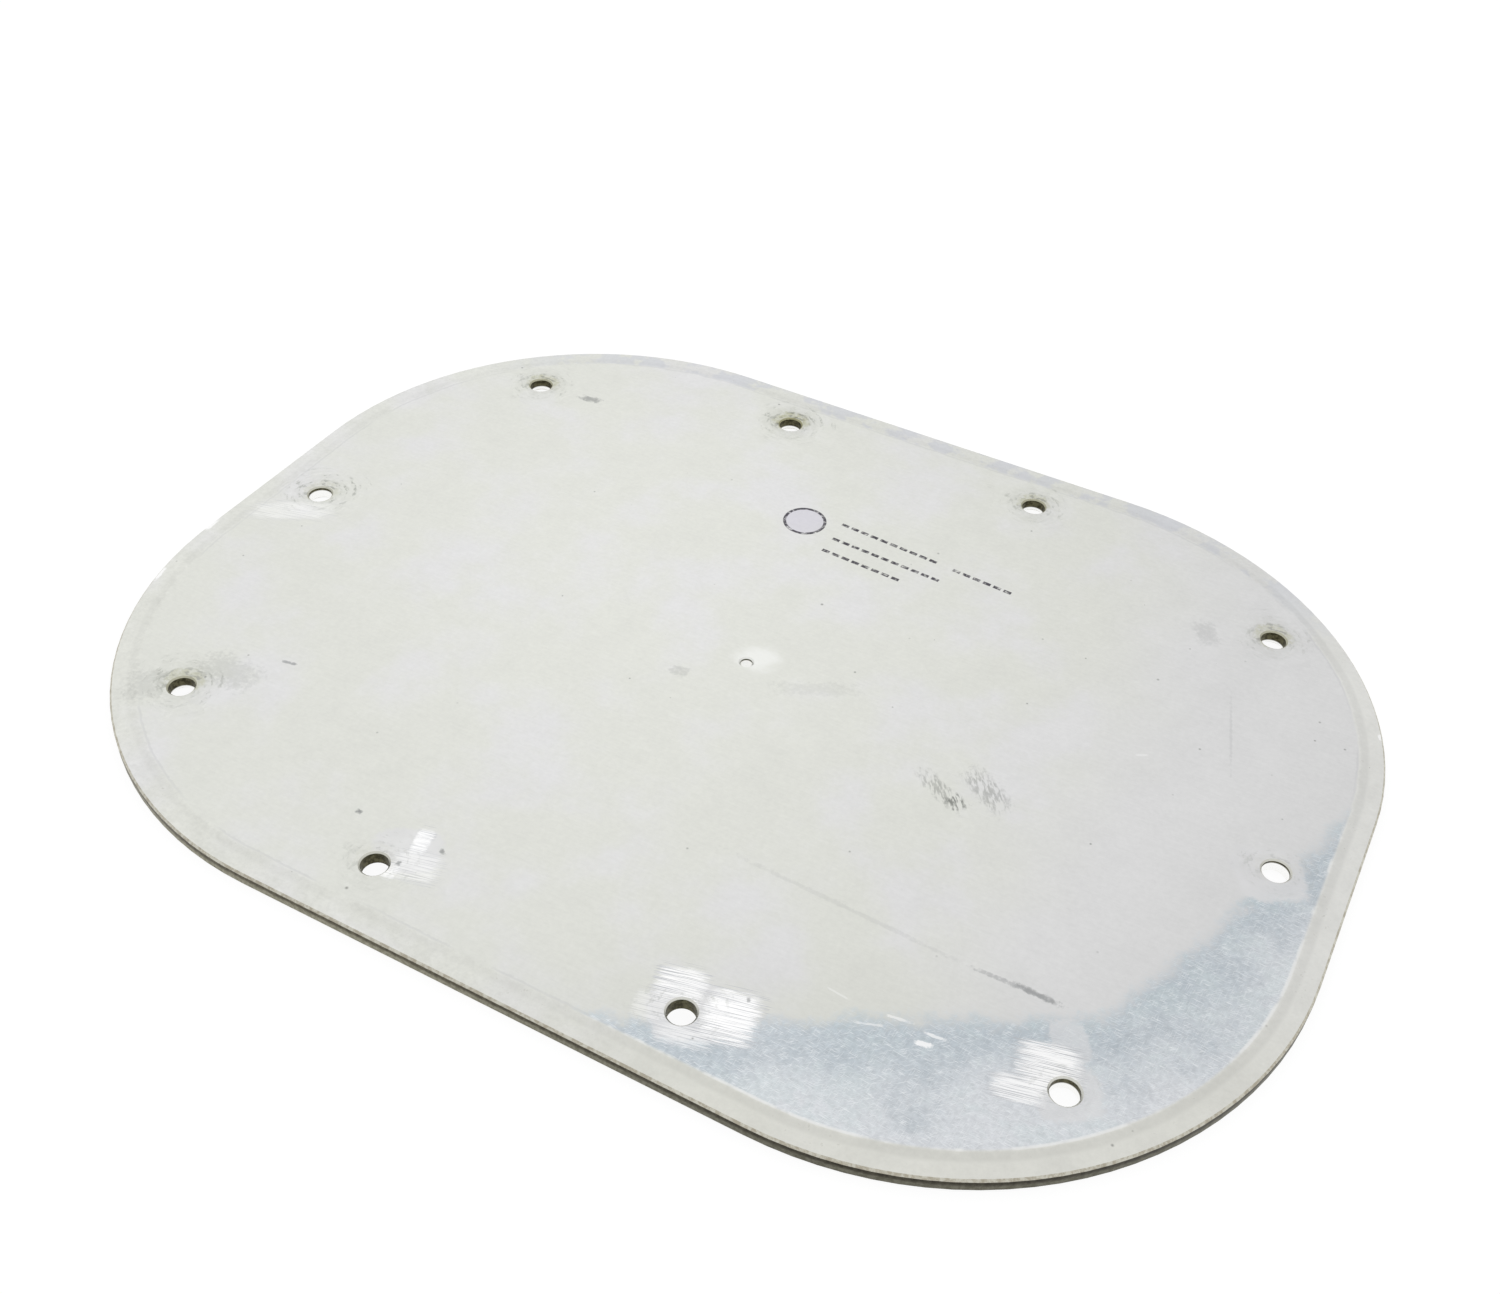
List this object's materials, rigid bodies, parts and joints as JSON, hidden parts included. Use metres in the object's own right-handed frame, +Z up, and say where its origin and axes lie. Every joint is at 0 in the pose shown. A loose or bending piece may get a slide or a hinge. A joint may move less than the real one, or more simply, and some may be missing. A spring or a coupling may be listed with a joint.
{
  "type": "rectangular cover plate",
  "caption": "Flat aluminium access cover plate with large round corners, a shallow dressed rim, screw holes round its edge and a pilot hole in the middle.",
  "frame": {"origin": "middle of the outer face, which the plate lies on", "axes": "+X along the plate's length, +Y along its width, +Z up out of the inner face"},
  "size_m": [0.254, 0.194, 0.0032],
  "materials": {
    "aluminium_sheet": "mill finish aluminium sheet, dull and faintly mottled, with fine scratches and brushed rings where each hole was deburred"
  },
  "bodies": {
    "root": {"cover_plate": "aluminium_sheet"}
  },
  "joints": []
}
